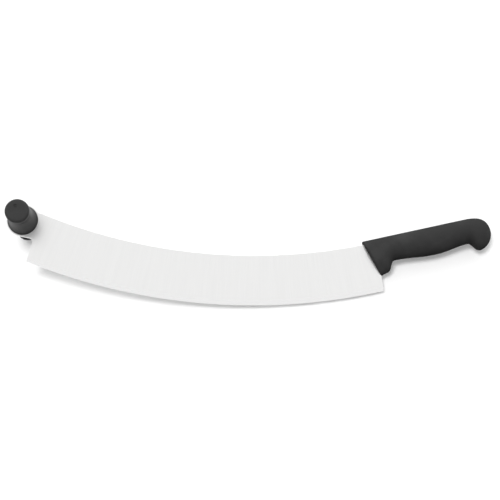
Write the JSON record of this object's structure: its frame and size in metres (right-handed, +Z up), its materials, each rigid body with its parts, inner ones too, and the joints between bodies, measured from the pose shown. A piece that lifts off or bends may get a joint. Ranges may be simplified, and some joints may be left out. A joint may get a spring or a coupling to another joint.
{
  "type": "cheese knife",
  "caption": "Curved crescent cheese knife with a moulded main handle on its tang and a round cross-grip through its tip tongue, for rocking cuts through whole wheels of cheese.",
  "frame": {"origin": "middle of the base of the bounding box, on the table the knife lies on", "axes": "+X along the blade from the cross-grip to the main handle, +Y from the cutting edge towards the spine, +Z up from the table"},
  "size_m": [0.5148, 0.1044, 0.0927],
  "materials": {
    "blade_steel": "fine satin grind with a brighter ground bevel along the edge",
    "handle_polymer": "black moulded plastic with a fine matte texture",
    "grip_polymer": "black moulded plastic, satin",
    "stud_steel": "plain machined steel",
    "insert_brass": "plain machined brass"
  },
  "bodies": {
    "root": {"blade": "blade_steel", "main_handle": "handle_polymer", "upper_grip": "grip_polymer", "lower_grip": "grip_polymer", "grip_stud": "stud_steel", "upper_insert": "insert_brass", "lower_insert": "insert_brass"}
  },
  "joints": []
}
